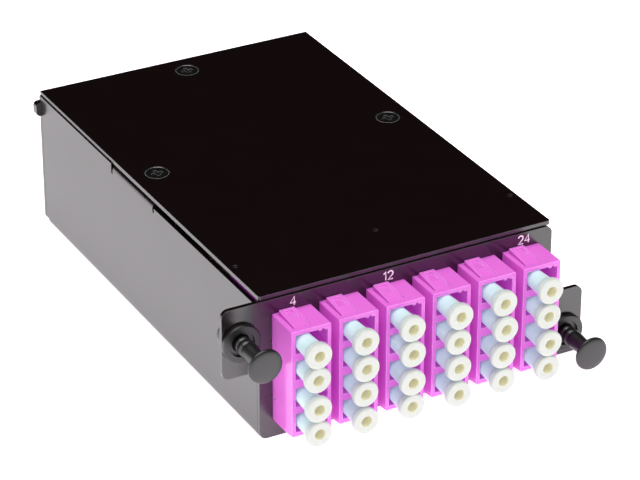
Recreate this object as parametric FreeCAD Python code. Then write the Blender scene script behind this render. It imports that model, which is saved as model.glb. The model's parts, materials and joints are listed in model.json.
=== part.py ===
"""Fibre cassette: a folded sheet box with six quad adapters in front and two multi-fibre adapters behind.

The model is drawn with x = 0 at the middle of the front plate, y = 0 on the plate's front face and z = 0
on the underside.  Y runs backwards.  At the end every piece moves by the same amount along Y, so that the
origin lies below the centre of the whole object.
"""

import FreeCAD
import Part

import math
import os

# ---------------------------------------------------------------- driving dimensions, millimetres

# Front plate with its two ears
row_side_margin = 3.225
plate_height = 33.9
plate_thickness = 1.0
plate_corner = 1.8
ear_width = 8.7
ear_height = 16.6
ear_inner_corner = 0.5

# Folded tray and flat cover
sheet = 1.0
bend_inside = 0.6
body_depth = 114.0
seam = 0.1
front_wall_drop = 1.3
front_flange_height = 3.2
corner_relief = 0.8
cover_thickness = 1.0
cover_side_inset = 0.3
cover_front_inset = 0.4
cover_front_corner = 0.5
dimple_radius = 0.65
dimple_depth = 0.5
dimple_side_inset = 1.6
dimple_from_front = 14.5
pip_height = 0.4
pip_slack = 0.05

# Screw tabs bent inwards from the walls, and the relief cuts beside them
tab_width = 21.0
tab_length = 10.3
side_tab_y = 62.0
screw_from_wall = 6.3
relief_width = 0.8
relief_below_bend = 0.9

# Guide lugs at the rear corners
lug_reach = 1.3
lug_thickness = 1.9
lug_height = 3.4
lug_below_top = 1.6
lug_corner = 1.0

# Countersunk cover screws
screw_head_radius = 2.8
screw_thread_radius = 1.45
screw_length = 6.0
screw_sunk = 0.05
countersink_radius = 3.0
tapped_radius = 1.5
recess_arm = 1.35
recess_slot = 0.7
recess_depth = 0.9

# Quad adapters
adapter_count = 6
adapter_pitch = 11.36
adapter_width = 9.35
adapter_height = 26.1
adapter_bottom = 4.15
adapter_port_centre = 13.275
adapter_front = 8.8
adapter_lead_length = 3.2
adapter_lead_height = 0.45
adapter_length = 28.0
adapter_edge = 0.25
window_clearance = 0.08
flange_side = 0.8
flange_end = 0.85
flange_thickness = 1.4
port_pitch = 6.25
port_middle_extra = 0.4
port_height = 4.6
port_width = 7.7
port_left_rim = 0.85
web_thickness = 2.0
tooth_height = 0.45
tooth_depth = 1.2
tooth_setback = 0.1
tooth_notch = 0.7
tooth_left = 1.0
sleeve_boss_radius = 1.5
sleeve_boss_length = 7.2
snap_left = 1.5
snap_width = 3.6
snap_slot = 0.5
snap_slot_depth = 0.8
snap_groove = 0.3
snap_groove_depth = 0.35
snap_rise = 0.7
snap_front_rim = 1.4
snap_plate_gap = 0.15
snap_pocket_width = 1.9
snap_pocket_length = 3.4
snap_pocket_rim = 0.7
snap_pocket_depth = 0.5
nick_length = 1.6
nick_height = 0.4
nick_depth = 0.3
nick_offsets = (6.0, -7.35)

# Alignment sleeves and inner connectors
sleeve_radius = 0.8
sleeve_length = 6.8
sleeve_fit = 0.05
ferrule_radius = 0.62
ferrule_wall_fit = 0.02
plug_side = 4.4
plug_length = 16.0
plug_socket_radius = 1.75
plug_gap = 0.6
ferrule_root = 2.0
latch_arm_width = 2.0
latch_arm_thickness = 0.8
latch_arm_lift = 2.2
latch_arm_length = 12.0
boot_length = 12.0
boot_base_radius = 1.9
boot_tip_radius = 1.1

# Dust caps of the front ports
cap_shank_radius = 2.12
cap_root_radius = 2.3
cap_head_radius = 3.0
cap_inside = 9.6
cap_reach = 6.4
cap_head_length = 1.5
cap_step_length = 0.8
cap_edge = 0.45
cap_hole_radius = 1.25
cap_hole_depth = 9.0
cap_seat_spread = 0.35
cap_tilt_spread = 0.6

# Push-pull latches: grommet and plunger
right_latch_z = 5.8
collar_radius = 4.45
collar_thickness = 1.1
collar_edge = 0.25
collar_recess_radius = 2.95
collar_recess_depth = 0.7
barrel_radius = 2.9
barrel_reach = 4.8
barrel_fit = 0.05
leg_step = 0.25
leg_slot = 0.6
leg_slot_angle = 45.0
leg_slot_from_plate = 0.8
bore_radius = 2.1
stem_radius = 2.02
plunger_out = 12.0
plunger_tail = 5.2
plunger_head_radius = 4.0
plunger_head_thickness = 1.0
plunger_head_edge = 0.3
plunger_dome_rise = 0.25
plunger_dome_steps = 5
plunger_neck_radius = 1.5
plunger_taper_length = 5.8
plunger_ring_count = 3
plunger_ring_length = 1.05
plunger_groove_length = 0.7
plunger_groove_radius = 1.7

# Fan-out blocks, buffered fibres and trunk cables
fibre_radius = 0.45
fibre_fit = 0.05
block_column_pitch = 2.4
block_row_pitch = 4.0
block_margin = 2.0
block_top_margin = 3.0
block_depth = 10.0
block_socket = 4.0
fibre_lead_share = 0.15
trunk_run = 7.7
trunk_radius = 1.5
trunk_fit = 0.05

# Multi-fibre adapters, connectors and their parts
rear_port_x = 16.0
rear_port_z = 17.0
rear_adapter_width = 12.8
rear_adapter_height = 9.4
rear_adapter_inside = 12.0
rear_adapter_outside = 12.0
rear_adapter_opening_width = 10.8
rear_adapter_opening_height = 7.4
rear_adapter_web = 2.0
rear_ferrule_way_width = 7.0
rear_ferrule_way_height = 3.0
rear_flange_width = 22.0
rear_flange_thickness = 2.0
rear_screw_pitch = 18.0
rear_screw_radius = 0.95
rear_screw_hole_radius = 1.0
rear_screw_head_radius = 1.9
rear_screw_head_height = 1.2
rear_screw_reach = 3.0
rear_key_width = 3.0
rear_key_height = 0.6
rear_plug_fit = 0.15
rear_plug_inset = 9.5
rear_housing_width = 12.3
rear_housing_height = 7.7
rear_housing_length = 16.0
rear_housing_gap = 0.3
rear_boot_length = 10.0
rear_boot_base_radius = 3.2
rear_boot_tip_radius = 2.2
rear_boot_overlap = 2.0
rear_cap_head = 4.0
rear_cap_inset = 8.0
rear_cap_ribs = 3
rear_cap_rib_width = 0.6
rear_cap_rib_height = 0.3

# ---------------------------------------------------------------- derived sizes

adapter_row = (adapter_count - 1) * adapter_pitch + adapter_width
plate_width = adapter_row + 2 * row_side_margin
bend_outside = bend_inside + sheet
half_plate = plate_width / 2
tray_top = plate_height
cover_bottom = tray_top + seam
cover_top = cover_bottom + cover_thickness
tray_front = plate_thickness
wall_front = plate_thickness + seam
rear_face = body_depth
side_wall_end = body_depth - sheet - seam
front_wall_top = tray_top - front_wall_drop
adapter_rear = adapter_length - adapter_front
adapter_middle = (adapter_rear - adapter_front) / 2
adapter_top = adapter_bottom + adapter_height
adapter_centre_z = adapter_bottom + adapter_port_centre
adapter_lefts = [(i - (adapter_count - 1) / 2) * adapter_pitch - adapter_width / 2 for i in range(adapter_count)]
port_offsets = [
    side * (port_middle_extra / 2 + port_pitch * step) for side, step in ((-1, 1.5), (-1, 0.5), (1, 0.5), (1, 1.5))
]
port_axis_x = port_left_rim + port_height / 2
latch_x = half_plate + ear_width / 2
left_latch_z = plate_height - ear_height / 2
plug_front = adapter_middle + web_thickness / 2 + plug_gap
plug_rear = plug_front + plug_length
boot_end = plug_rear + boot_length
rear_plug_front = rear_face - rear_adapter_inside + rear_plug_inset
rear_housing_front = rear_face - rear_adapter_inside - rear_housing_gap
rear_housing_rear = rear_housing_front - rear_housing_length
rear_boot_end = rear_housing_rear - rear_boot_length
block_rear = rear_boot_end - trunk_run
block_front = block_rear - block_depth
rear_reach = rear_face + rear_flange_thickness + rear_adapter_outside + rear_cap_head
front_reach = adapter_front + cap_reach + cap_seat_spread
origin_y = (rear_reach - front_reach) / 2

X = FreeCAD.Vector(1, 0, 0)
Y = FreeCAD.Vector(0, 1, 0)
Z = FreeCAD.Vector(0, 0, 1)


# ---------------------------------------------------------------- helpers


def vec(x, y, z):
    return FreeCAD.Vector(x, y, z)


def box(x0, x1, y0, y1, z0, z1):
    """Block between two corners."""
    return Part.makeBox(x1 - x0, y1 - y0, z1 - z0, vec(x0, y0, z0))


def rod(x, z, radius, y0, y1):
    """Cylinder along Y."""
    return Part.makeCylinder(radius, y1 - y0, vec(x, y0, z), Y)


def cone(x, z, radius0, radius1, y0, y1):
    """Cone along Y, from radius0 at y0 to radius1 at y1."""
    return Part.makeCone(radius0, radius1, y1 - y0, vec(x, y0, z), Y)


def outline(points, radii):
    """Closed wire through points, each corner rounded with its own radius, or sharp at radius 0."""
    edges = []
    ends = []
    for i, corner in enumerate(points):
        before = (points[i - 1] - corner).normalize()
        after = (points[(i + 1) % len(points)] - corner).normalize()
        half = before.getAngle(after) / 2
        if radii[i] == 0:
            ends.append((corner, corner))
            continue
        run = radii[i] / math.tan(half)
        start = corner + before * run
        end = corner + after * run
        middle = corner + (before + after).normalize() * (radii[i] / math.sin(half) - radii[i])
        edges.append(Part.Arc(start, middle, end).toShape())
        ends.append((start, end))
    for i in range(len(points)):
        start = ends[i][1]
        end = ends[(i + 1) % len(points)][0]
        edges.append(Part.LineSegment(start, end).toShape())
    return Part.Wire(Part.__sortEdges__(edges))


def prism(points, radii, direction):
    """Solid swept straight from a rounded outline."""
    return Part.Face(outline(points, radii)).extrude(direction)


def turned(profile, x, z):
    """Solid turned about the Y axis through (x, z) from (radius, y) points."""
    points = [vec(x + radius, y, z) for radius, y in profile]
    face = Part.Face(Part.makePolygon(points + points[:1]))
    return face.revolve(vec(x, 0, z), Y, 360)


def fused(shapes):
    """One clean solid from touching or overlapping shapes."""
    first = shapes[0]
    return first.multiFuse(shapes[1:]).removeSplitter()


def mirrored(shape):
    """Copy on the other side of the middle plane x = 0."""
    return shape.mirror(vec(0, 0, 0), X)


# ---------------------------------------------------------------- sheet metal


def screw_tab():
    """Tab of the left wall: up the wall's top, round the bend and inwards."""
    outer = -half_plate
    inner = outer + tab_length
    foot = tray_top - bend_outside - relief_below_bend
    section = [
        vec(outer, 0, foot),
        vec(outer, 0, tray_top),
        vec(inner, 0, tray_top),
        vec(inner, 0, tray_top - sheet),
        vec(outer + sheet, 0, tray_top - sheet),
        vec(outer + sheet, 0, foot),
    ]
    tab = prism(section, [0, bend_outside, 0, 0, bend_inside, 0], Y * tab_width)
    corners = [e for e in tab.Edges if abs(e.Vertexes[0].X - inner) < seam and abs(e.Vertexes[-1].X - inner) < seam]
    upright = [e for e in corners if abs(e.Vertexes[0].Y - e.Vertexes[-1].Y) < seam]
    tab = tab.makeFillet(plate_corner, upright)
    tab.translate(vec(0, -tab_width / 2, 0))
    return tab


def tapped_hole(x, y):
    """Cutter for a screw's hole in a tab: threaded way with a countersunk mouth."""
    mouth = countersink_radius - cover_thickness - seam
    depth = mouth - tapped_radius
    way = Part.makeCylinder(tapped_radius, 2 * sheet, vec(x, y, tray_top - 2 * sheet), Z)
    return way.fuse(Part.makeCone(tapped_radius, mouth, depth, vec(x, y, tray_top - depth), Z))


def relief_cut():
    """Cutter across the left wall: a narrow slot with a round foot, open at the top."""
    foot = tray_top - bend_outside - relief_below_bend + relief_width / 2
    slot = box(-half_plate - sheet, -half_plate + tab_length + sheet, -relief_width / 2, relief_width / 2, foot, cover_top)
    base = vec(-half_plate - sheet, 0, foot)
    return slot.fuse(Part.makeCylinder(relief_width / 2, tab_length + 2 * sheet, base, X))


def side_wall_tops():
    """Cutters for the left wall's top edge: lowered front stretch and the room of the tab's bend."""
    outer = -half_plate - sheet
    inner = -half_plate + 2 * sheet
    tab_front = side_tab_y - tab_width / 2
    tab_rear = side_tab_y + tab_width / 2
    lowered = box(outer, inner, 0, tab_front, front_wall_top, cover_top)
    bend_foot = tray_top - bend_outside - relief_below_bend
    bend_room = box(outer, inner, tab_front, tab_rear, bend_foot, cover_top)
    return lowered.fuse(bend_room)


def rear_lug():
    """Guide lug of the rear wall that stands out past the left side."""
    top = tray_top - lug_below_top
    points = [
        vec(-half_plate - lug_reach, 0, top - lug_height),
        vec(-half_plate + lug_reach, 0, top - lug_height),
        vec(-half_plate + lug_reach, 0, top),
        vec(-half_plate - lug_reach, 0, top),
    ]
    lug = prism(points, [lug_corner, 0, 0, lug_corner], Y * lug_thickness)
    lug.translate(vec(0, rear_face - sheet, 0))
    return lug


def rear_cutouts():
    """Cutters for the two rear adapters and their screws."""
    cutters = []
    for side in (-1, 1):
        x = side * rear_port_x
        half_width = rear_adapter_width / 2 + window_clearance
        half_height = rear_adapter_height / 2 + window_clearance
        window = box(
            x - half_width, x + half_width, rear_face - 2 * sheet, rear_face + sheet,
            rear_port_z - half_height, rear_port_z + half_height,
        )
        cutters.append(window)
        for hand in (-1, 1):
            screw_x = x + hand * rear_screw_pitch / 2
            cutters.append(rod(screw_x, rear_port_z, rear_screw_hole_radius, rear_face - 2 * sheet, rear_face + sheet))
    return cutters


def base_tray():
    """Floor, side walls, rear wall and front flange, folded from one sheet, with screw tabs and lugs."""
    outer = half_plate
    inner = half_plate - sheet
    section = [
        vec(-outer, 0, tray_top), vec(-outer, 0, 0), vec(outer, 0, 0), vec(outer, 0, tray_top),
        vec(inner, 0, tray_top), vec(inner, 0, sheet), vec(-inner, 0, sheet), vec(-inner, 0, tray_top),
    ]
    radii = [0, bend_outside, bend_outside, 0, 0, bend_inside, bend_inside, 0]
    channel = prism(section, radii, Y * (side_wall_end - wall_front))
    channel.translate(vec(0, wall_front, 0))
    # Floor lengthways with the front flange and the rear wall, between the side bends.
    long_section = [
        vec(0, tray_front, front_flange_height), vec(0, tray_front, 0),
        vec(0, rear_face, 0), vec(0, rear_face, tray_top),
        vec(0, rear_face - sheet, tray_top), vec(0, rear_face - sheet, sheet),
        vec(0, tray_front + sheet, sheet), vec(0, tray_front + sheet, front_flange_height),
    ]
    long_radii = [0, bend_outside, bend_outside, 0, 0, bend_inside, bend_inside, 0]
    strip_half = outer - bend_outside - corner_relief
    strip = prism(long_section, long_radii, X * (2 * strip_half))
    strip.translate(vec(-strip_half, 0, 0))
    # The side bends stop short of the rear wall, and the floor's own bends take its place at both ends.
    rear_bend_start = rear_face - bend_outside
    end_cuts = [
        box(-strip_half, strip_half, 0, tray_front + bend_outside, -sheet, bend_outside),
        box(-strip_half, strip_half, rear_bend_start, rear_face + sheet, -sheet, bend_outside),
    ]
    for side in (-1, 1):
        low_x = min(side * strip_half, side * (outer + sheet))
        high_x = max(side * strip_half, side * (outer + sheet))
        end_cuts.append(box(low_x, high_x, rear_bend_start - corner_relief, rear_face + sheet, -sheet, bend_outside))
    channel = channel.cut(end_cuts)
    rear_panel = box(-outer, outer, rear_face - sheet, rear_face, bend_outside, tray_top)
    walls = side_wall_tops()
    channel = channel.cut([walls, mirrored(walls)])
    tab = screw_tab()
    side_tab = tab.copy()
    side_tab.translate(vec(0, side_tab_y, 0))
    rear_tab = tab.copy()
    rear_tab.rotate(vec(0, 0, 0), Z, -90)
    rear_tab.translate(vec(0, rear_face - half_plate, 0))
    tab_half = tab_width / 2
    rear_tab_room = box(
        -tab_half, tab_half, rear_face - 2 * sheet, rear_face + sheet,
        tray_top - bend_outside - relief_below_bend, cover_top,
    )
    rear_panel = rear_panel.cut(rear_tab_room)
    strip = strip.cut(rear_tab_room)
    lug = rear_lug()
    tray = fused([channel, strip, rear_panel, side_tab, mirrored(side_tab), rear_tab, lug, mirrored(lug)])
    cutters = rear_cutouts()
    for end in (-1, 1):
        slot_offset = end * (tab_half + relief_width / 2)
        slot = relief_cut()
        slot.translate(vec(0, side_tab_y + slot_offset, 0))
        cutters.append(slot)
        cutters.append(mirrored(slot))
        rear_slot = relief_cut()
        rear_slot.rotate(vec(0, 0, 0), Z, -90)
        rear_slot.translate(vec(slot_offset, rear_face - half_plate, 0))
        cutters.append(rear_slot)
    for x, y in screw_places():
        cutters.append(tapped_hole(x, y))
    return tray.cut(cutters)


def screw_places():
    """Centres of the three cover screws."""
    side_x = half_plate - screw_from_wall
    return [(-side_x, side_tab_y), (side_x, side_tab_y), (0, rear_face - screw_from_wall)]


def dimple_places():
    """Centres of the three pressed dimples near the cover's front edge."""
    side_x = half_plate - cover_side_inset - dimple_side_inset
    return [(-side_x, dimple_from_front), (0, dimple_from_front), (side_x, dimple_from_front)]


def top_cover():
    """Flat cover with countersunk holes, and dimples pressed through into small pips."""
    half = half_plate - cover_side_inset
    points = [
        vec(-half, cover_front_inset, cover_bottom), vec(half, cover_front_inset, cover_bottom),
        vec(half, rear_face, cover_bottom), vec(-half, rear_face, cover_bottom),
    ]
    cover = prism(points, [cover_front_corner, cover_front_corner, 0, 0], Z * cover_thickness)
    cutters = []
    pips = []
    for x, y in screw_places():
        low_radius = countersink_radius - cover_thickness
        cutters.append(Part.makeCone(low_radius, countersink_radius, cover_thickness, vec(x, y, cover_bottom), Z))
    for x, y in dimple_places():
        cutters.append(Part.makeCylinder(dimple_radius, sheet, vec(x, y, cover_top - dimple_depth), Z))
        pip_radius = dimple_radius - pip_slack
        pip_bottom = cover_bottom - pip_height
        pips.append(Part.makeCylinder(pip_radius, pip_height, vec(x, y, pip_bottom), Z))
    return fused([cover] + pips).cut(cutters)


def front_plate():
    """Plate with its two ears, the adapters' windows and the latches' holes."""
    right = half_plate + ear_width
    points = [
        vec(-half_plate, 0, 0), vec(right, 0, 0), vec(right, 0, ear_height), vec(half_plate, 0, ear_height),
        vec(half_plate, 0, plate_height), vec(-right, 0, plate_height),
        vec(-right, 0, plate_height - ear_height), vec(-half_plate, 0, plate_height - ear_height),
    ]
    outer = plate_corner
    radii = [outer, outer, outer, ear_inner_corner, outer, outer, outer, ear_inner_corner]
    plate = prism(points, radii, Y * plate_thickness)
    cutters = []
    for left in adapter_lefts:
        window = box(
            left - window_clearance, left + adapter_width + window_clearance, -sheet, plate_thickness + sheet,
            adapter_bottom - window_clearance, adapter_top + window_clearance,
        )
        cutters.append(window)
    for x, z in latch_places():
        cutters.append(rod(x, z, barrel_radius + barrel_fit, -sheet, plate_thickness + sheet))
    return plate.cut(cutters)


def cover_screw(x, y):
    """Countersunk screw with a cross recess, its head just below the cover's top face."""
    top = cover_top - screw_sunk
    cone_height = screw_head_radius - screw_thread_radius
    head = Part.makeCone(screw_thread_radius, screw_head_radius, cone_height, vec(x, y, top - cone_height), Z)
    shank = Part.makeCylinder(screw_thread_radius, screw_length, vec(x, y, top - screw_length), Z)
    screw = fused([head, shank])
    half = recess_slot / 2
    floor = top - recess_depth
    along = box(x - recess_arm, x + recess_arm, y - half, y + half, floor, cover_top)
    across = box(x - half, x + half, y - recess_arm, y + recess_arm, floor, cover_top)
    return screw.cut([along, across])


# ---------------------------------------------------------------- quad adapters


def snap_tab(left, side):
    """Snap tab of one end face: a wedge that rises towards the plate, with a pocket sloping into it.

    side is 1 for the top face and -1 for the bottom face.
    """
    root = adapter_top if side > 0 else adapter_bottom
    x0 = left + snap_left
    front = -adapter_front + snap_front_rim
    back = -snap_plate_gap
    sunk = root - side * snap_slot_depth
    points = [vec(x0, front, sunk), vec(x0, front, root), vec(x0, back, root + side * snap_rise), vec(x0, back, sunk)]
    wedge = prism(points, [0, 0, 0, 0], X * snap_width)
    slope = side * snap_rise / (back - front)
    pocket_x = x0 + (snap_width - snap_pocket_width) / 2
    pocket_back = back - snap_pocket_rim
    pocket_front = pocket_back - snap_pocket_length
    deep = root + slope * (pocket_back - front) - side * snap_pocket_depth
    shallow = root + slope * (pocket_front - front)
    outside = root + side * 2 * snap_rise
    points = [
        vec(pocket_x, pocket_back, deep), vec(pocket_x, pocket_back, outside),
        vec(pocket_x, pocket_front, outside), vec(pocket_x, pocket_front, shallow),
    ]
    return wedge.cut(prism(points, [0, 0, 0, 0], X * snap_pocket_width))


def snap_room(left, side):
    """Cutters beside a snap tab: a deep slot on its left and a shallow groove on its right."""
    root = adapter_top if side > 0 else adapter_bottom
    front = -adapter_front + snap_front_rim
    x0 = left + snap_left
    x1 = x0 + snap_width
    cutters = []
    for low_x, high_x, depth in (
        (x0 - snap_slot, x0, snap_slot_depth),
        (x1, x1 + snap_groove, snap_groove_depth),
    ):
        low = min(root - side * depth, root + side * sheet)
        high = max(root - side * depth, root + side * sheet)
        cutters.append(box(low_x, high_x, front, 0, low, high))
    return cutters


def port_cavity(left, z, mouth, inner):
    """Cutter for one port between its mouth and its inner end, along Y in either direction."""
    x0 = left + port_left_rim
    low_y = min(mouth, inner)
    high_y = max(mouth, inner)
    cavity = box(x0, x0 + port_width, low_y, high_y, z - port_height / 2, z + port_height / 2)
    inward = 1 if inner > mouth else -1
    near = mouth + inward * tooth_setback
    far = near + inward * tooth_depth
    tooth_start = x0 + port_height + tooth_left
    gap_start = (tooth_start + x0 + port_width - tooth_notch) / 2
    teeth = []
    for low_x, high_x in ((tooth_start, gap_start), (gap_start + tooth_notch, x0 + port_width)):
        for side in (-1, 1):
            wall = z + side * port_height / 2
            edge = wall - side * tooth_height
            teeth.append(box(low_x, high_x, min(near, far), max(near, far), min(wall, edge), max(wall, edge)))
    return cavity.cut(teeth)


def quad_adapter(left):
    """Adapter body with four ports in front and four behind, its flange behind the plate and snap tabs."""
    lead_end = -adapter_front + adapter_lead_length
    side_outline = [
        vec(left, -adapter_front, adapter_bottom + adapter_lead_height), vec(left, lead_end, adapter_bottom),
        vec(left, adapter_rear, adapter_bottom), vec(left, adapter_rear, adapter_top),
        vec(left, -adapter_front, adapter_top),
    ]
    body = prism(side_outline, [0] * 5, X * adapter_width)
    long_edges = [e for e in body.Edges if abs(e.Vertexes[0].Y - e.Vertexes[1].Y) > adapter_lead_length - adapter_edge]
    body = body.makeFillet(adapter_edge, long_edges)
    flange = box(
        left - flange_side, left + adapter_width + flange_side,
        plate_thickness, plate_thickness + flange_thickness,
        adapter_bottom - flange_end, adapter_top + flange_end,
    )
    body = fused([body, flange])
    cutters = snap_room(left, 1) + snap_room(left, -1)
    for offset in nick_offsets:
        z = adapter_centre_z + offset
        half_nick = nick_height / 2
        cutters.append(box(left - nick_depth, left + nick_depth, -nick_length, 0, z - half_nick, z + half_nick))
    bosses = []
    for offset in port_offsets:
        z = adapter_centre_z + offset
        cutters.append(port_cavity(left, z, -adapter_front, adapter_middle - web_thickness / 2))
        cutters.append(port_cavity(left, z, adapter_rear, adapter_middle + web_thickness / 2))
        boss_front = adapter_middle - sleeve_boss_length / 2
        bosses.append(rod(left + port_axis_x, z, sleeve_boss_radius, boss_front, boss_front + sleeve_boss_length))
    body = body.cut(cutters)
    body = fused([body, snap_tab(left, 1), snap_tab(left, -1)] + bosses)
    bores = []
    for offset in port_offsets:
        z = adapter_centre_z + offset
        bores.append(rod(left + port_axis_x, z, sleeve_radius + sleeve_fit, -adapter_front, adapter_rear))
    return body.cut(bores)


def alignment_sleeve(x, z):
    """Ceramic tube in the middle of a port pair."""
    front = adapter_middle - sleeve_length / 2
    outer = rod(x, z, sleeve_radius, front, front + sleeve_length)
    return outer.cut(rod(x, z, ferrule_radius + ferrule_wall_fit, front, front + sleeve_length))


def inner_plug(x, z):
    """Housing of an inner connector, with its latch arm on the right."""
    half = plug_side / 2
    housing = box(x - half, x + half, plug_front, plug_rear, z - half, z + half)
    arm_front = plug_front + sleeve_boss_length / 2
    arm_rear = arm_front + latch_arm_length
    side = x + half
    arm_points = [
        vec(side - latch_arm_thickness, arm_front, z), vec(side, arm_front, z),
        vec(side + latch_arm_lift, arm_rear, z), vec(side + latch_arm_lift - latch_arm_thickness, arm_rear, z),
        vec(side - latch_arm_thickness, arm_front + latch_arm_thickness, z),
    ]
    arm = prism(arm_points, [0] * 5, Z * latch_arm_width)
    arm.translate(vec(0, 0, -latch_arm_width / 2))
    socket_end = adapter_middle + sleeve_boss_length / 2 + plug_gap
    socket = rod(x, z, plug_socket_radius, plug_front, socket_end)
    ferrule_way = rod(x, z, ferrule_radius, socket_end, socket_end + ferrule_root)
    fibre_way = rod(x, z, fibre_radius + fibre_fit, socket_end + ferrule_root, plug_rear)
    return fused([housing, arm]).cut([socket, ferrule_way, fibre_way])


def ferrule(x, z):
    """Ceramic ferrule from the middle of the sleeve into the plug."""
    socket_end = adapter_middle + sleeve_boss_length / 2 + plug_gap
    return rod(x, z, ferrule_radius, adapter_middle + ferrule_wall_fit, socket_end + ferrule_root)


def plug_boot(x, z):
    """Tapered strain relief behind an inner connector."""
    boot = cone(x, z, boot_base_radius, boot_tip_radius, plug_rear, boot_end)
    return boot.cut(rod(x, z, fibre_radius + fibre_fit, plug_rear, boot_end))


def dust_cap(column, row):
    """Cap of one front port: shank that widens to its root, soft step, round head and blind hole.

    Caps are pushed in by hand, so each sits a little deeper or shallower and a little askew.
    """
    x = adapter_lefts[column] + port_axis_x
    z = adapter_centre_z + port_offsets[row]
    end = -adapter_front - cap_reach
    head_start = end + cap_head_length
    step_start = head_start + cap_step_length
    mouth = -adapter_front
    inner = mouth + cap_inside
    floor = end + cap_hole_depth
    soft = cap_edge * (1 - math.sqrt(0.5))
    profile = [
        (0, inner), (cap_shank_radius - cap_edge, inner), (cap_shank_radius, inner - cap_edge),
        (cap_shank_radius, mouth), (cap_root_radius, step_start), (cap_head_radius, head_start),
        (cap_head_radius, end + cap_edge), (cap_head_radius - soft, end + soft), (cap_head_radius - cap_edge, end),
        (cap_hole_radius, end), (cap_hole_radius, floor), (0, floor),
    ]
    cap = turned(profile, x, z)
    phase = 2.4 * (column * len(port_offsets) + row)
    pivot = vec(x, (inner - adapter_front) / 2, z)
    cap.rotate(pivot, X, cap_tilt_spread * math.sin(phase))
    cap.rotate(pivot, Z, cap_tilt_spread * math.cos(phase))
    cap.translate(Y * (cap_seat_spread * math.sin(1.7 * phase)))
    return cap


# ---------------------------------------------------------------- latches


def latch_places():
    """Axes of the left and right latches in the ears."""
    return [(-latch_x, left_latch_z), (latch_x, right_latch_z)]


def latch_grommet(x, z):
    """Collar in front of the ear, with a round recess, and a split barrel through it."""
    collar = [
        (0, 0), (collar_radius, 0), (collar_radius, -collar_thickness + collar_edge),
        (collar_radius - collar_edge, -collar_thickness), (0, -collar_thickness),
    ]
    leg_front = plate_thickness + barrel_fit
    legs = rod(x, z, barrel_radius + leg_step, leg_front, barrel_reach)
    grommet = fused([turned(collar, x, z), rod(x, z, barrel_radius, 0, leg_front), legs])
    recess_floor = -collar_thickness + collar_recess_depth
    cutters = [
        rod(x, z, collar_recess_radius, -collar_thickness, recess_floor),
        rod(x, z, bore_radius, -collar_thickness, barrel_reach),
    ]
    slot_front = plate_thickness + leg_slot_from_plate
    half = leg_slot / 2
    slot = box(x - collar_radius, x + collar_radius, slot_front, barrel_reach, z - half, z + half)
    slot.rotate(vec(x, 0, z), Y, leg_slot_angle)
    cutters.append(slot)
    return grommet.cut(cutters)


def latch_plunger(x, z):
    """Plunger pulled out: domed disc head, widening neck, grip rings, and a stem in the grommet's bore."""
    face = -plunger_out
    back = face + plunger_head_thickness
    dome_edge = plunger_head_radius - plunger_head_edge
    profile = [(0, face)]
    for i in range(1, plunger_dome_steps + 1):
        share = i / plunger_dome_steps
        profile.append((dome_edge * share, face + plunger_dome_rise * share ** 2))
    profile.append((plunger_head_radius, face + plunger_dome_rise + plunger_head_edge))
    profile += [(plunger_head_radius, back), (plunger_neck_radius, back)]
    y = back + plunger_taper_length
    profile.append((stem_radius, y))
    for i in range(plunger_ring_count):
        y += plunger_ring_length
        profile += [(stem_radius, y), (plunger_groove_radius, y)]
        y += plunger_groove_length
        profile += [(plunger_groove_radius, y), (stem_radius, y)]
    profile += [(stem_radius, plunger_tail), (0, plunger_tail)]
    return turned(profile, x, z)


# ---------------------------------------------------------------- fibres and rear ports


def block_grid(side, column, row):
    """Centre of one fibre's hole in a fan-out block: side is -1 or 1, column 0 to 2, row 0 to 3."""
    x = side * rear_port_x + (column - 1) * block_column_pitch
    z = adapter_centre_z + (row - 1.5) * block_row_pitch
    return x, z


def fan_out_block(side):
    """Moulded block on the tray's floor that gathers twelve fibres into one trunk cable."""
    x = side * rear_port_x
    half = block_column_pitch + block_margin
    top = adapter_centre_z + 1.5 * block_row_pitch + block_top_margin
    block = box(x - half, x + half, block_front, block_rear, sheet, top)
    cutters = [rod(x, rear_port_z, trunk_radius + trunk_fit, block_rear - block_socket, block_rear)]
    for column in range(3):
        for row in range(4):
            hole_x, hole_z = block_grid(side, column, row)
            cutters.append(rod(hole_x, hole_z, fibre_radius + fibre_fit, block_front, block_front + block_socket))
    return block.cut(cutters)


def rounded_path(points):
    """Wire of straight runs joined by tangent arcs, each arc as large as its two runs allow."""
    edges = []
    start = points[0]
    for before, corner, after in zip(points, points[1:], points[2:]):
        back = before - corner
        ahead = after - corner
        run = 0.45 * min(back.Length, ahead.Length)
        back.normalize()
        ahead.normalize()
        half = back.getAngle(ahead) / 2
        radius = run * math.tan(half)
        arc_start = corner + back * run
        arc_end = corner + ahead * run
        middle = corner + (back + ahead).normalize() * (radius / math.sin(half) - radius)
        edges.append(Part.LineSegment(start, arc_start).toShape())
        edges.append(Part.Arc(arc_start, middle, arc_end).toShape())
        start = arc_end
    edges.append(Part.LineSegment(start, points[-1]).toShape())
    return Part.Wire(edges)


def buffered_fibre(side, column, row):
    """One fibre from inside its boot, in an easy double bend, into the fan-out block."""
    adapter = column if side < 0 else column + adapter_count // 2
    x0 = adapter_lefts[adapter] + port_axis_x
    z0 = adapter_centre_z + port_offsets[row]
    x1, z1 = block_grid(side, column, row)
    start = boot_end - block_socket
    end = block_front + block_socket - fibre_fit
    lead = fibre_lead_share * (block_front - boot_end)
    points = [vec(x0, start, z0), vec(x0, boot_end + lead, z0), vec(x1, block_front - lead, z1), vec(x1, end, z1)]
    path = rounded_path(points)
    section = Part.Wire(Part.makeCircle(fibre_radius, points[0], Y))
    return path.makePipeShell([section], True, False)


def trunk_cable(side):
    """Round cable from a fan-out block to the boot of its multi-fibre connector."""
    return rod(side * rear_port_x, rear_port_z, trunk_radius, block_rear - block_socket, rear_boot_end + rear_boot_overlap)


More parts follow.
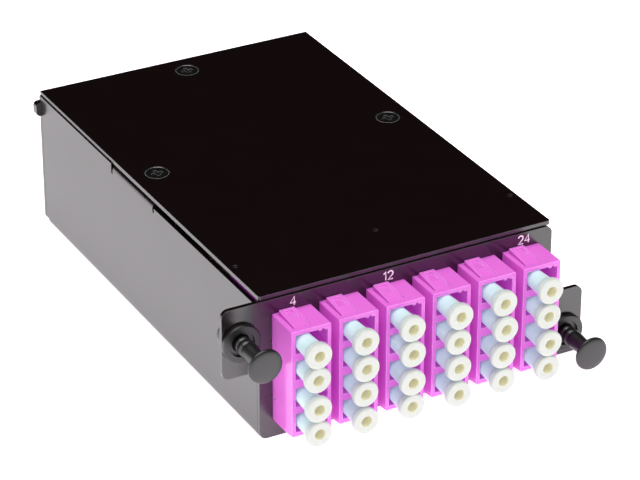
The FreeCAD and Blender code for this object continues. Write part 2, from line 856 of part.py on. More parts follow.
def rear_box(side, width, height, y0, y1):
    """Block centred on a rear port's axis."""
    x = side * rear_port_x
    return box(x - width / 2, x + width / 2, y0, y1, rear_port_z - height / 2, rear_port_z + height / 2)


def rear_plug(side):
    """Multi-fibre connector inside: plug in the adapter, housing and its bore for the cable."""
    width = rear_adapter_opening_width - 2 * rear_plug_fit
    height = rear_adapter_opening_height - 2 * rear_plug_fit
    plug = rear_box(side, width, height, rear_housing_front, rear_plug_front)
    housing = rear_box(side, rear_housing_width, rear_housing_height, rear_housing_rear, rear_housing_front)
    return fused([plug, housing])


def rear_boot(side):
    """Tapered boot between a multi-fibre connector and its trunk cable."""
    x = side * rear_port_x
    boot = cone(x, rear_port_z, rear_boot_tip_radius, rear_boot_base_radius, rear_boot_end, rear_housing_rear)
    bore = rod(x, rear_port_z, trunk_radius + trunk_fit, rear_boot_end, rear_boot_end + rear_boot_overlap)
    return boot.cut(bore)


def rear_adapter(side):
    """Multi-fibre adapter through the rear wall, with its flange outside and a key rib on top."""
    x = side * rear_port_x
    outer_end = rear_face + rear_flange_thickness + rear_adapter_outside
    inner_end = rear_face - rear_adapter_inside
    body = rear_box(side, rear_adapter_width, rear_adapter_height, inner_end, outer_end)
    flange = rear_box(side, rear_flange_width, rear_adapter_height, rear_face, rear_face + rear_flange_thickness)
    half_key = rear_key_width / 2
    top = rear_port_z + rear_adapter_height / 2
    key = box(x - half_key, x + half_key, rear_face + rear_flange_thickness, outer_end, top, top + rear_key_height)
    web_middle = (inner_end + outer_end) / 2
    web_front = web_middle - rear_adapter_web / 2
    web_rear = web_middle + rear_adapter_web / 2
    width = rear_adapter_opening_width
    height = rear_adapter_opening_height
    cutters = [
        rear_box(side, width, height, inner_end, web_front),
        rear_box(side, width, height, web_rear, outer_end),
        rear_box(side, rear_ferrule_way_width, rear_ferrule_way_height, web_front, web_rear),
    ]
    for hand in (-1, 1):
        screw_x = x + hand * rear_screw_pitch / 2
        cutters.append(
            rod(screw_x, rear_port_z, rear_screw_hole_radius, rear_face, rear_face + rear_flange_thickness)
        )
    return fused([body, flange, key]).cut(cutters)


def rear_screw(x):
    """Small round-head screw through a rear adapter's flange and the rear wall."""
    seat = rear_face + rear_flange_thickness
    shank = rod(x, rear_port_z, rear_screw_radius, rear_face - rear_screw_reach, seat)
    head = rod(x, rear_port_z, rear_screw_head_radius, seat, seat + rear_screw_head_height)
    half = recess_slot / 2
    top = seat + rear_screw_head_height
    low = top - rear_screw_head_height / 2
    arm = rear_screw_head_radius / 2
    along = box(x - arm, x + arm, low, top, rear_port_z - half, rear_port_z + half)
    across = box(x - half, x + half, low, top, rear_port_z - arm, rear_port_z + arm)
    return fused([shank, head]).cut([along, across])


def rear_cap(side):
    """Cap of a rear port: a plug inside the port and a ribbed head outside it."""
    outer_end = rear_face + rear_flange_thickness + rear_adapter_outside
    width = rear_adapter_opening_width - 2 * rear_plug_fit
    height = rear_adapter_opening_height - 2 * rear_plug_fit
    plug = rear_box(side, width, height, outer_end - rear_cap_inset, outer_end)
    head = rear_box(side, rear_adapter_width, rear_adapter_height, outer_end, outer_end + rear_cap_head)
    pieces = [plug, head]
    gap = (rear_cap_head - rear_cap_ribs * rear_cap_rib_width) / (rear_cap_ribs + 1)
    for i in range(rear_cap_ribs):
        y = outer_end + gap + i * (gap + rear_cap_rib_width)
        rib_width = rear_adapter_width + 2 * rear_cap_rib_height
        pieces.append(rear_box(side, rib_width, rear_adapter_height, y, y + rear_cap_rib_width))
    return fused(pieces)


# ---------------------------------------------------------------- all pieces


def all_nodes():
    """Every node's name and its solids."""
    nodes = {
        "base_tray": [base_tray()],
        "top_cover": [top_cover()],
        "front_plate": [front_plate()],
        "cover_screws": [cover_screw(x, y) for x, y in screw_places()],
    }
    ports = [(left + port_axis_x, adapter_centre_z + offset) for left in adapter_lefts for offset in port_offsets]
    rows = len(port_offsets)
    for i, left in enumerate(adapter_lefts):
        nodes[f"quad_adapter_{i + 1}"] = [quad_adapter(left)]
        own_ports = ports[i * rows:(i + 1) * rows]
        nodes[f"inner_connectors_{i + 1}"] = [inner_plug(x, z) for x, z in own_ports]
        nodes[f"inner_connectors_{i + 1}"] += [ferrule(x, z) for x, z in own_ports]
        for row in range(rows):
            nodes[f"dust_cap_{i * rows + row + 1}"] = [dust_cap(i, row)]
    nodes["alignment_sleeves"] = [alignment_sleeve(x, z) for x, z in ports]
    nodes["connector_boots"] = [plug_boot(x, z) for x, z in ports]
    for name, side, place in (("left", -1, latch_places()[0]), ("right", 1, latch_places()[1])):
        nodes[f"latch_grommet_{name}"] = [latch_grommet(*place)]
        nodes[f"latch_plunger_{name}"] = [latch_plunger(*place)]
        nodes[f"fan_out_block_{name}"] = [fan_out_block(side)]
        nodes[f"fibres_{name}"] = [buffered_fibre(side, column, row) for column in range(3) for row in range(rows)]
        nodes[f"rear_adapter_{name}"] = [rear_adapter(side)]
        nodes[f"rear_connector_{name}"] = [rear_plug(side)]
        nodes[f"rear_cap_{name}"] = [rear_cap(side)]
    nodes["trunk_cables"] = [trunk_cable(side) for side in (-1, 1)]
    nodes["rear_connector_boots"] = [rear_boot(side) for side in (-1, 1)]
    screw_xs = [side * rear_port_x + hand * rear_screw_pitch / 2 for side in (-1, 1) for hand in (-1, 1)]
    nodes["rear_adapter_screws"] = [rear_screw(x) for x in screw_xs]
    return nodes


os.makedirs("parts", exist_ok=True)
count = 0
for name, solids in all_nodes().items():
    shape = solids[0] if len(solids) == 1 else Part.makeCompound(solids)
    shape.translate(vec(0, -origin_y, 0))
    shape.exportStep(f"parts/{name}.step")
    print(f"{name}: {len(shape.Solids)} solids, {shape.Volume:.1f} mm3, valid {shape.isValid()}")
    count += 1
print(f"{count} nodes; origin {origin_y:.2f} mm behind the plate's face")
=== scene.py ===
# %% [markdown]
# # A fibre cassette on a studio table
#
# The real object is a shallow black sheet metal box with violet fibre adapters in front.
# Its shape comes ready made from the CAD frame, so this lesson is about everything else:
# light, camera, finishes, and the small printed and moulded details that make it look real.
# The frame is loaded first, because every later place is measured from it.

# %% Load the frame
import json
import math

import bmesh
import bpy
from mathutils import Matrix, Vector


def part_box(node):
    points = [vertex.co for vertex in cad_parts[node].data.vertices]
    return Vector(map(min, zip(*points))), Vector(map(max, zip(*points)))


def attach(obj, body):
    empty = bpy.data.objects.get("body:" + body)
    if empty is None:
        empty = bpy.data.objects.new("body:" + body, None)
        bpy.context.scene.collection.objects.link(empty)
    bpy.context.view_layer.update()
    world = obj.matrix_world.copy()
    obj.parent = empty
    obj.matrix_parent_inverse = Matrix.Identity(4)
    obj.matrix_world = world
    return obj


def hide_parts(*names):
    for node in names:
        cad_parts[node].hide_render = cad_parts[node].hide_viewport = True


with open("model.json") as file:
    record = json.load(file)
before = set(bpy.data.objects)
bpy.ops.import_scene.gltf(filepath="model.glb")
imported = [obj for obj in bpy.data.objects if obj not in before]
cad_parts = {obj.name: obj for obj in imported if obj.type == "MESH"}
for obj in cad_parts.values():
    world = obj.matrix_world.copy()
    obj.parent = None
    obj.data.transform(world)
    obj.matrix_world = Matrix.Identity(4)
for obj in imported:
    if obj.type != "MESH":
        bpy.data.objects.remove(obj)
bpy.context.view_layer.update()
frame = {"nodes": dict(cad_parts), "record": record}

MM = 0.001
nodes = frame["nodes"]

# %% [markdown]
# ## The camera
#
# A product picture is often taken with a long lens from above one corner, so that the top, one side
# and the ports all show and the box keeps its proportions.  The camera could be placed by typing a
# position, but an azimuth, an elevation and a distance around a point are easier to think about.

# %% Camera
AZIMUTH, ELEVATION = math.radians(-28.426), math.radians(28.465)
DISTANCE = 0.67217
AIM = Vector((0.0026, -0.01344, 0.0175))
LENS_MM, SENSOR_MM = 165, 36
NEAREST = 0.01

backwards = Vector((
    math.sin(AZIMUTH) * math.cos(ELEVATION),
    -math.cos(AZIMUTH) * math.cos(ELEVATION),
    math.sin(ELEVATION),
))
camera = bpy.data.objects.new("camera", bpy.data.cameras.new("camera"))
bpy.context.scene.collection.objects.link(camera)
camera.location = AIM + backwards * DISTANCE
camera.rotation_euler = (math.pi / 2 - ELEVATION, 0, AZIMUTH)
camera.data.sensor_width = SENSOR_MM
camera.data.lens = LENS_MM
camera.data.clip_start = NEAREST
bpy.context.scene.camera = camera
print("camera at", [round(v, 4) for v in camera.location], "lens", camera.data.lens)

# %% [markdown]
# ## The light
#
# Black paint has almost no colour of its own: what the eye reads as its shade is the reflection
# of whatever stands opposite.  The side and the front of the box look down on the table, so a
# bright table turns them grey, while the lid looks up at the dark room and stays black.
# So the room is nearly dark, and four softboxes light a very pale table.  The front and right
# ones are kept out of the mirror images, or the lid would turn white when it is seen from behind.


# %% Softboxes
def softbox(name, place, aim, size, watts, mirrored):
    lamp = bpy.data.lights.new(name, "AREA")
    lamp.shape = "RECTANGLE"
    lamp.size, lamp.size_y = size
    lamp.energy = watts
    box = bpy.data.objects.new(name, lamp)
    bpy.context.scene.collection.objects.link(box)
    box.location = place
    box.rotation_euler = (Vector(aim) - Vector(place)).to_track_quat("-Z", "Y").to_euler()
    box.visible_glossy = mirrored
    print(name, "softbox:", watts, "W")


for name, place, aim, size, watts, mirrored in (
    ("overhead", (-0.15, -0.15, 0.9), (0, 0, 0), (0.9, 0.9), 9, True),
    ("front", (-0.3, -1.0, 0.45), (0, 0, 0.02), (1.0, 0.7), 3.5, False),
    ("left", (-1.0, 0.1, 0.35), (0, 0, 0.02), (0.7, 0.5), 2.5, True),
    ("right", (0.8, -0.75, 0.5), (0.03, -0.06, 0.02), (0.6, 0.6), 5, False),
):
    softbox(name, place, aim, size, watts, mirrored)

# %% A dark room
ROOM_COLOUR = (0.010, 0.009, 0.009, 1)

room = bpy.data.worlds.new("room")
bpy.context.scene.world = room
room.use_nodes = True
room.node_tree.nodes["Background"].inputs["Color"].default_value = ROOM_COLOUR
bpy.context.scene.view_settings.view_transform = "Standard"
print("room:", ROOM_COLOUR[:3])

# %% [markdown]
# ## Materials as expressions
#
# A material is a graph of nodes.  Wiring each one by hand is slow to read, so one small class wraps
# an output socket and lets Python's arithmetic make the Math nodes.  Every other node comes from a
# single method that takes its type, its settings and what goes into its sockets.


# %% A socket with arithmetic
class Wire:
    def __init__(self, finish, socket):
        self.finish, self.socket = finish, socket

    def maths(self, how, first, second):
        return self.finish.node("ShaderNodeMath", {"operation": how}, {0: first, 1: second})

    def __add__(self, other):
        return self.maths("ADD", self, other)

    def __sub__(self, other):
        return self.maths("SUBTRACT", self, other)

    def __rsub__(self, other):
        return self.maths("SUBTRACT", other, self)

    def __mul__(self, other):
        return self.maths("MULTIPLY", self, other)

    __radd__ = __add__
    __rmul__ = __mul__


# %% A material under construction
CORNER_STARTS, CORNER_FULL = 0.02, 0.25


class Finish:
    def __init__(self, name):
        self.material = bpy.data.materials.new(name)
        self.material.use_nodes = True
        self.tree = self.material.node_tree
        self.surface = self.tree.nodes["Principled BSDF"]

    def node(self, kind, settings=None, values=None, output=0):
        made = self.tree.nodes.new(kind)
        for key, value in (settings or {}).items():
            setattr(made, key, value)
        for key, value in (values or {}).items():
            self.feed(made.inputs[key], value)
        return Wire(self, made.outputs[output])

    def feed(self, socket, value):
        if isinstance(value, Wire):
            self.tree.links.new(value.socket, socket)
        elif socket.type == "RGBA":
            socket.default_value = (*value, 1)
        else:
            socket.default_value = value

    def principled(self, **values):
        for key, value in values.items():
            label = key.replace("_", " ").title().replace("Ior", "IOR")
            self.feed(self.surface.inputs[label], value)

    def noise(self, grains_per_mm, detail):
        place = self.node("ShaderNodeTexCoord", output="Object")
        values = {"Vector": place, "Scale": grains_per_mm / MM, "Detail": detail}
        return self.node("ShaderNodeTexNoise", values=values)

    def blend(self, mask, first, second):
        values = {0: mask, 6: first, 7: second}
        return self.node("ShaderNodeMix", {"data_type": "RGBA"}, values, output=2)

    def window(self, value, low, high):
        limits = {"Value": value, "From Min": low, "From Max": high}
        return self.node("ShaderNodeMapRange", {"interpolation_type": "SMOOTHSTEP"}, limits)

    def drawn(self, name):
        return self.node("ShaderNodeAttribute", {"attribute_name": name}, output="Fac")

    def soft_edges(self, radius_mm):
        return self.node("ShaderNodeBevel", {"samples": 4}, {"Radius": radius_mm * MM})

    def corners(self, radius_mm):
        """1 along the shape's corners and 0 on its flat faces: how far a softened normal turns."""
        flat = self.node("ShaderNodeNewGeometry", output="Normal")
        product, pair = {"operation": "DOT_PRODUCT"}, {0: self.soft_edges(radius_mm), 1: flat}
        agree = self.node("ShaderNodeVectorMath", product, pair, output="Value")
        return self.window(1 - agree, CORNER_STARTS, CORNER_FULL)

    def bump(self, height, depth_mm, normal=None):
        values = {"Height": height, "Distance": depth_mm * MM, "Strength": 1.0}
        if normal:
            values["Normal"] = normal
        return self.node("ShaderNodeBump", values=values)


# %% [markdown]
# ## Black powder coat
#
# The tray, lid and front plate are steel with a baked black powder.  It flows into a skin with
# ripples half a millimetre across, and under it the sheet itself is never quite flat.  Handling
# rubs the corners paler and leaves specks of dust.  The skin's gloss is high for a plastic, so
# its index of refraction is set above the usual 1.5.


# %% Powder coat
def powder_coat():
    finish = Finish("black_paint")
    black, dusty, rubbed = (0.0036, 0.0006, 0.0009), (0.010, 0.008, 0.008), (0.05, 0.05, 0.05)
    ripple = finish.noise(1.6, detail=2.0)
    sheet_wave = finish.noise(0.03, detail=1.0)
    cloud = finish.noise(0.12, detail=3.0)
    dust = finish.window(finish.noise(5.0, detail=1.0), 0.68, 0.8)
    coat = finish.blend(dust * 0.3, black, dusty)
    finish.principled(
        base_color=finish.blend(finish.corners(0.2), coat, rubbed),
        roughness=cloud * 0.05 + ripple * 0.04 + 0.19,
        ior=1.9,
        normal=finish.bump(ripple * 0.6 + sheet_wave * 8.0, 0.012, finish.soft_edges(0.18)),
    )
    return finish.material


# %% [markdown]
# ## Violet adapters
#
# The adapters are moulded in a strong violet that marks one grade of fibre.  The pigment is dense
# but the resin is slightly milky: thin rims look lighter, and light that passed through a wall
# keeps the ports from ever going black.  Tracing that light would take many samples, so the lighter
# rims are a painted highlight drawn from the shape's own corners, and a faint violet glow is
# painted light that lifts the shade inside the ports.


# %% Violet plastic
def violet_plastic():
    finish = Finish("violet_plastic")
    violet, paler, rim_highlight = (0.70, 0.15, 0.60), (0.75, 0.20, 0.66), (0.95, 0.50, 0.92)
    grain = finish.noise(6.0, detail=3.0)
    flow = finish.noise(0.15, detail=2.0)
    resin = finish.blend(flow * 0.6, violet, paler)
    finish.principled(
        # Corners blend towards a painted rim highlight.
        base_color=finish.blend(finish.corners(0.3), resin, rim_highlight),
        roughness=grain * 0.06 + 0.12,
        normal=finish.bump(grain, 0.003, finish.soft_edges(0.25)),
        subsurface_weight=0.3,
        subsurface_radius=(1.0, 0.4, 0.9),
        subsurface_scale=0.8 * MM,
        # Painted light: a faint violet glow lifts the shade inside the ports.
        emission_color=(0.55, 0.02, 0.65),
        emission_strength=0.14,
    )
    return finish.material


# %% [markdown]
# ## Milky dust caps
#
# The caps are soft translucent polyethylene.  Light enters the wall, wanders, and leaves with a
# little less blue each time, so the thin shank looks cool, the thick end ring neutral, and the
# blind hole, which only gets light that came through the wall, a pale yellow.  Real transmission
# would be slow and noisy here, so two marks painted on the mesh pick the colour instead: `along`
# runs from the end ring to the shank's painted cool shade, and `hollow` is 1 in the hole, which
# gets a painted pale yellow light.  A faint glow, also painted light, stands for the light inside
# the wall, and it is strongest in the hole.


# %% Dust cap plastic
def cap_plastic():
    finish = Finish("cap_plastic")
    grain = finish.noise(3.0, detail=2.0)
    flow = finish.noise(0.25, detail=2.0)
    # Painted shade: the shank's cool tint, blended in from the end ring.
    shank_painted_shade = finish.blend(flow, (0.53, 0.77, 0.79), (0.59, 0.81, 0.82))
    end_ring = finish.blend(flow, (0.50, 0.50, 0.46), (0.53, 0.53, 0.50))
    outside_painted_shade = finish.blend(finish.drawn("along"), end_ring, shank_painted_shade)
    # Painted light: the pale yellow of the hole, and a painted glow.
    hollow, hole_painted_light = finish.drawn("hollow"), (0.68, 0.67, 0.50)
    wall_glow, hole_glow = (0.20, 0.30, 0.29), (0.44, 0.41, 0.30)
    finish.principled(
        base_color=finish.blend(hollow, outside_painted_shade, hole_painted_light),
        roughness=grain * 0.1 + 0.25,
        normal=finish.bump(grain, 0.006),
        emission_color=finish.blend(hollow, wall_glow, hole_glow),
        emission_strength=0.28,
        subsurface_weight=0.3,
        subsurface_radius=(1.0, 0.95, 0.8),
        subsurface_scale=1.0 * MM,
    )
    return finish.material


# %% [markdown]
# ## Black nylon
#
# The latches are nylon, duller than the powder coat and worn by fingers.  A scuff is a patch
# where fine scratches make it both paler and rougher, so one noise drives colour and roughness.


# %% Black nylon
def black_nylon():
    finish = Finish("black_nylon")
    grain = finish.noise(4.0, detail=3.0)
    scuff = finish.window(finish.noise(0.7, detail=4.0), 0.55, 0.8)
    finish.principled(
        base_color=finish.blend(scuff, (0.006, 0.006, 0.006), (0.014, 0.013, 0.013)),
        roughness=grain * 0.08 + scuff * 0.08 + 0.33,
        ior=1.7,
        normal=finish.bump(grain, 0.004, finish.soft_edges(0.15)),
    )
    return finish.material


# %% [markdown]
# ## Inner pieces and screws
#
# Connectors, sleeves and fibres sit inside the box, where a plain moulded finish is enough: one
# function takes a colour, a darker one, a grain and a roughness.  The screws are black oxide
# steel, and their corners are painted pale grey and less metallic: a painted highlight that
# rings each head.


# %% Plain inner finishes
def plain_plastic(name, colour, darker, grains_per_mm, rough):
    finish = Finish(name)
    grain = finish.noise(grains_per_mm, detail=2.0)
    finish.principled(
        base_color=finish.blend(grain, colour, darker),
        roughness=grain * 0.15 + rough,
        normal=finish.bump(grain, 0.008),
    )
    return finish.material


# %% Black oxide steel
def black_steel():
    finish = Finish("black_steel")
    mottle = finish.noise(1.2, detail=4.0)
    edge_highlight = finish.corners(0.25)
    oxide = finish.blend(mottle, (0.014, 0.014, 0.015), (0.05, 0.05, 0.052))
    finish.principled(
        # Painted highlight: the corners turn pale grey and less metallic.
        base_color=finish.blend(edge_highlight, oxide, (0.30, 0.30, 0.30)),
        metallic=0.9 - edge_highlight * 0.7,
        roughness=mottle * 0.2 + 0.28,
        normal=finish.bump(mottle, 0.006, finish.soft_edges(0.1)),
    )
    return finish.material


# %% [markdown]
# ## Finishes on the frame
#
# Every CAD node carries the name of the finish that the real piece has.  Picking the material by
# that name, in one loop, leaves no node behind and keeps the list of finishes in a single place.

# %% Give every node its finish
PLAIN_FINISHES = {
    "black_plastic": ((0.012, 0.012, 0.013), (0.025, 0.025, 0.026), 3.0, 0.4),
    "white_plastic": ((0.82, 0.82, 0.80), (0.76, 0.76, 0.74), 2.0, 0.35),
    "fibre_jacket": ((0.62, 0.12, 0.50), (0.50, 0.09, 0.40), 1.0, 0.35),
    "zirconia": ((0.88, 0.88, 0.84), (0.84, 0.84, 0.80), 4.0, 0.12),
}
finishes = {
    "black_paint": powder_coat(),
    "violet_plastic": violet_plastic(),
    "cap_plastic": cap_plastic(),
    "black_nylon": black_nylon(),
    "black_steel": black_steel(),
}
for name, recipe in PLAIN_FINISHES.items():
    finishes[name] = plain_plastic(name, *recipe)
for row in frame["record"]["subparts"]:
    slots = nodes[row["node"]].data.materials
    slots.clear()
    slots.append(finishes[row["material_slot"]])

# %% [markdown]
# ## Turned pieces
#
# The dust caps and the latch plungers are round mouldings, the kind of shape that a lathe makes:
# draw half of the outline, then spin it about the axis.  The CAD solid has plain corners there.
# On the real thing each corner has a small radius, and that radius catches the light, so these
# pieces are made again with softened outlines and stand where the CAD ones stood.

# %% Soften an outline
ARC_STEPS = 4
RUN_IN = 1.2


def softened(corners):
    """Points of an outline (radius, along); a third number rounds that corner by as much."""
    outline = []
    for i, (radius, along, *soft) in enumerate(corners):
        corner = Vector((radius, along))
        if not soft:
            outline.append(corner)
            continue
        before = (Vector(corners[i - 1][:2]) - corner).normalized()
        after = (Vector(corners[i + 1][:2]) - corner).normalized()
        outline.append(corner + before * soft[0] * RUN_IN)
        for step in range(ARC_STEPS + 1):
            t = step / ARC_STEPS
            outline.append(corner + before * soft[0] * (1 - t) ** 2 + after * soft[0] * t ** 2)
        outline.append(corner + after * soft[0] * RUN_IN)
    return outline


# %% Spin it
TOUCHING = 1e-4


def lathe(corners, steps=48):
    """Closed round solid about the y axis, in millimetres."""
    turned = bmesh.new()
    points = [turned.verts.new((radius, along, 0)) for radius, along in softened(corners)]
    line = [turned.edges.new(pair) for pair in zip(points, points[1:])]
    bmesh.ops.spin(turned, geom=points + line, cent=(0, 0, 0), axis=(0, 1, 0), angle=2 * math.pi,
                   steps=steps, use_merge=True)
    bmesh.ops.remove_doubles(turned, verts=turned.verts, dist=TOUCHING)
    bmesh.ops.recalc_face_normals(turned, faces=turned.faces)
    return turned


# %% Put it in its place
def placed(name, shape, place, finish):
    """Moves a bmesh drawn in millimetres to its place in metres and makes it an object."""
    bmesh.ops.transform(shape, matrix=place @ Matrix.Scale(MM, 4), verts=shape.verts)
    mesh = bpy.data.meshes.new(name)
    shape.to_mesh(mesh)
    shape.free()
    mesh.shade_smooth()
    mesh.materials.append(finish)
    piece = bpy.data.objects.new(name, mesh)
    bpy.context.scene.collection.objects.link(piece)
    return piece


# %% [markdown]
# ## Where a cap sits
#
# Caps are pushed in by hand, so no two stand quite alike.  The CAD caps have that already.  Their
# lean is read from their own points: the middle of the head's end and the middle of the inner end
# give the axis.

# %% Read a cap's axis
END_BAND = 0.1 * MM


def cap_axis(node):
    points = [v.co for v in nodes[node].data.vertices]
    low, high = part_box(node)

    def middle(chosen):
        xs, zs = [p.x for p in chosen], [p.z for p in chosen]
        return (min(xs) + max(xs)) / 2, (min(zs) + max(zs)) / 2

    head_x, head_z = middle([p for p in points if p.y < low.y + END_BAND])
    tail_x, tail_z = middle([p for p in points if p.y > high.y - END_BAND])
    head, tail = Vector((head_x, low.y, head_z)), Vector((tail_x, high.y, tail_z))
    return head, (tail - head).normalized()


# %% [markdown]
# ## Dust caps
#
# A cap is a plug with a thick end ring to pull on, a root that tapers to the shank, and a blind
# hole that lets the wall flex.  The hole is drawn a little narrower at its floor, because a
# moulded hole needs that draft to leave its core pin.  The marks that the finish reads are painted
# on the points of the same outline, so they follow the shape and need no unwrapping.

# %% The size of a cap, in millimetres
CAP_HEAD, CAP_ROOT, CAP_SHANK, CAP_HOLE = 2.99, 2.3, 2.11, 1.25
HEAD_BACK, ROOT_START, ROOT_END = 1.45, 2.4, 6.4
HOLE_DEEP, HOLE_POINT, HOLE_DRAFT = 9.0, 0.2, 0.06
HOLE_MARGIN, TINT_STARTS, TINT_RUN = 0.02, 0.2, 4.0
CAP_INSET = 0.03

cap_low, cap_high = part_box("dust_cap_1")
CAP_LONG = cap_high.y - cap_low.y
print("a cap is", round(CAP_LONG / MM, 2), "mm long")


# %% The shape of a cap
def cap_shape():
    long = CAP_LONG / MM - CAP_INSET * 2
    shape = lathe([
        (0, long), (CAP_SHANK, long, 0.45), (CAP_SHANK, ROOT_END), (CAP_ROOT, ROOT_START, 0.5),
        (CAP_HEAD, HEAD_BACK, 0.35), (CAP_HEAD, 0, 0.42), (CAP_HOLE, 0, 0.14),
        (CAP_HOLE - HOLE_DRAFT, HOLE_DEEP, 0.4), (0, HOLE_DEEP + HOLE_POINT),
    ])
    hollow = shape.verts.layers.float.new("hollow")
    along = shape.verts.layers.float.new("along")
    for v in shape.verts:
        radius = math.hypot(v.co.x, v.co.z)
        in_hole = radius < CAP_HOLE + HOLE_MARGIN and v.co.y < HOLE_DEEP + HOLE_POINT * 2
        v[hollow] = 1.0 if in_hole else 0.0
        v[along] = min(max(v.co.y - TINT_STARTS, 0.0) / TINT_RUN, 1.0)
    return shape


# %% Dust caps
caps = sorted((n for n in nodes if n.startswith("dust_cap_")), key=lambda n: int(n.split("_")[-1]))
for node in caps:
    head, axis = cap_axis(node)
    turn = Vector((0, 1, 0)).rotation_difference(axis).to_matrix().to_4x4()
    place = Matrix.Translation(head + axis * CAP_INSET * MM) @ turn
    cap = placed("moulded_" + node, cap_shape(), place, finishes["cap_plastic"])
    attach(cap, "cassette")
    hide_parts(node)
print("caps:", len(caps), "faces each:", len(cap.data.polygons))

# %% [markdown]
# ## Latch plungers
#
# A finger pulls the round head out to free the cassette and pushes it in to lock it.  The stem
# widens from the head to three soft grip rings near the collar.  Turned square rings would read
# as machined metal, so each ring here is a low hump with rounded shoulders.

# %% The size of a plunger, in millimetres
HEAD, NECK, STEM, GROOVE = 3.98, 1.5, 2.0, 1.7
DOME = [(0, 0.01), (1.3, 0.03), (2.6, 0.12), (3.5, 0.24)]
RIM_START, RIM_END, NECK_START = 0.5, 0.98, 0.99
RINGS, RING_FIRST, RING_PITCH, RING_HALF = 3, 7.3, 1.75, 0.35
TAIL_INSET = 0.02


# %% The shape of a plunger
def plunger_shape(long):
    head = [(HEAD, RIM_START, 0.25), (HEAD, RIM_END, 0.12), (NECK, NECK_START, 0.15)]
    rings = []
    for i in range(RINGS):
        crest = RING_FIRST + RING_PITCH * i
        rings += [(STEM, crest - RING_HALF, 0.25), (STEM, crest + RING_HALF, 0.25)]
        rings += [(GROOVE, crest + RING_PITCH / 2, 0.2)]
    end = long - TAIL_INSET
    tail = [(STEM, RING_FIRST + RING_PITCH * RINGS, 0.2), (STEM, end, 0.3), (0, end)]
    return lathe(DOME + head + rings + tail, steps=64)


# %% Latch plungers
for side in ("left", "right"):
    node = "latch_plunger_" + side
    low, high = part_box(node)
    long = (high.y - low.y) / MM
    shape = plunger_shape(long)
    middle = Vector(((low.x + high.x) / 2, low.y, (low.z + high.z) / 2))
    plunger = placed("moulded_" + node, shape, Matrix.Translation(middle), finishes["black_nylon"])
    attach(plunger, side + "_plunger")
    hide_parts(node)
    print(plunger.name, "length", round(long, 2), "mm, faces", len(plunger.data.polygons))

# %% [markdown]
# ## Port numbers
#
# Screen printing lays a thin film of pale ink on the plate.  The numerals are single strokes with
# round ends, so each one is drawn as a curve with a bevel, made into a mesh, and pressed flat.


# %% Strokes, each numeral one unit high
def bow(x, y, radius, start, end, steps=10):
    angles = [math.radians(start + (end - start) * i / steps) for i in range(steps + 1)]
    return [(x + radius * math.cos(a), y + radius * math.sin(a)) for a in angles]


STROKES = {
    "1": (0.42, [[(0.06, 0.76), (0.22, 0.84), (0.34, 1.0), (0.34, 0.0)]]),
    "2": (0.66, [bow(0.33, 0.70, 0.30, 165, -35) + [(0.03, 0.0), (0.64, 0.0)]]),
    "4": (0.70, [[(0.50, 0.0), (0.50, 1.0), (0.02, 0.30), (0.68, 0.30)]]),
}
INK_HEIGHT, INK_STROKE, INK_GAP, INK_FILM = 2.0, 0.36, 0.16, 0.03


# %% Write a number with them
def written(text):
    """The numerals side by side as one curve, and how wide they are."""
    curve = bpy.data.curves.new("stroke", "CURVE")
    curve.dimensions = "3D"
    curve.bevel_depth = INK_STROKE / INK_HEIGHT / 2
    curve.bevel_resolution = 3
    curve.use_fill_caps = True
    across = 0.0
    for digit in text:
        width, lines = STROKES[digit]
        for line in lines:
            spline = curve.splines.new("POLY")
            spline.points.add(len(line) - 1)
            for point, (x, y) in zip(spline.points, line):
                point.co = (across + x, y, 0, 1)
        across += width + INK_GAP
    return curve, across - INK_GAP


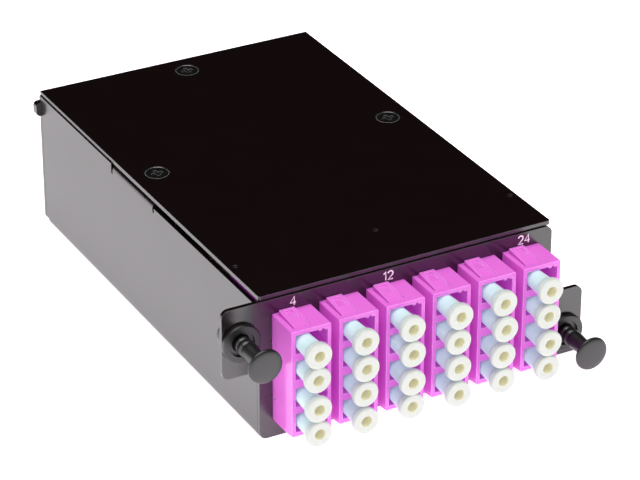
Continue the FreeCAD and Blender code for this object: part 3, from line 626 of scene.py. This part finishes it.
# %% Press it flat on the plate
def printed_number(text, centre_x, centre_z, finish):
    curve, wide = written(text)
    drawn = bpy.data.objects.new("stroke", curve)
    bpy.context.scene.collection.objects.link(drawn)
    seen = drawn.evaluated_get(bpy.context.evaluated_depsgraph_get())
    ink = bmesh.new()
    ink.from_mesh(bpy.data.meshes.new_from_object(seen))
    bpy.data.objects.remove(drawn)
    thick = INK_HEIGHT * (INK_FILM / INK_STROKE)
    bmesh.ops.translate(ink, verts=ink.verts, vec=(-wide / 2, -0.5, 0))
    bmesh.ops.scale(ink, verts=ink.verts, vec=(INK_HEIGHT, INK_HEIGHT, thick))
    stand_up = Matrix.Rotation(math.pi / 2, 4, "X")
    plate_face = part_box("front_plate")[0].y
    place = Matrix.Translation((centre_x, plate_face, centre_z)) @ stand_up
    return placed("number_" + text, ink, place, finish)


# %% Ink
def number_ink():
    finish = Finish("number_ink")
    grain = finish.noise(8.0, detail=2.0)
    finish.principled(
        base_color=finish.blend(grain, (0.95, 0.78, 0.88), (0.90, 0.72, 0.82)),
        roughness=grain * 0.2 + 0.45,
    )
    return finish.material


# %% Print the numbers, each a little right of its adapter's middle
INK_MIDDLE = 32.2 * MM
NUMBERS = [
    ("4", "quad_adapter_1", 0.3),
    ("12", "quad_adapter_3", 0.6),
    ("24", "quad_adapter_6", 0.7),
]

ink = number_ink()
for text, node, aside in NUMBERS:
    low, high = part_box(node)
    number = printed_number(text, (low.x + high.x) / 2 + aside * MM, INK_MIDDLE, ink)
    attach(number, "cassette")
    print(number.name, "faces", len(number.data.polygons))

# %% [markdown]
# ## The table
#
# The sheet under the object is what the glossy sides reflect, so it matters more than a plain
# floor would.  Lit from above alone it turns grey away from the lamps; a light table, which glows
# evenly from inside, keeps it the same in every direction.


# %% Table paper
def table_paper():
    finish = Finish("paper")
    fibres = finish.noise(2.0, detail=2.0)
    finish.principled(
        base_color=finish.blend(fibres, (0.90, 0.90, 0.90), (0.93, 0.93, 0.93)),
        roughness=0.7,
        emission_color=(1.0, 0.93, 1.0),
        emission_strength=0.85,
    )
    return finish.material


# %% The table
TABLE_REACH = 4

top = bmesh.new()
bmesh.ops.create_grid(top, x_segments=1, y_segments=1, size=TABLE_REACH)
sheet = bpy.data.meshes.new("table")
top.to_mesh(sheet)
top.free()
sheet.materials.append(table_paper())
table = bpy.data.objects.new("table", sheet)
bpy.context.scene.collection.objects.link(table)
print("table:", TABLE_REACH * 2, "m across")
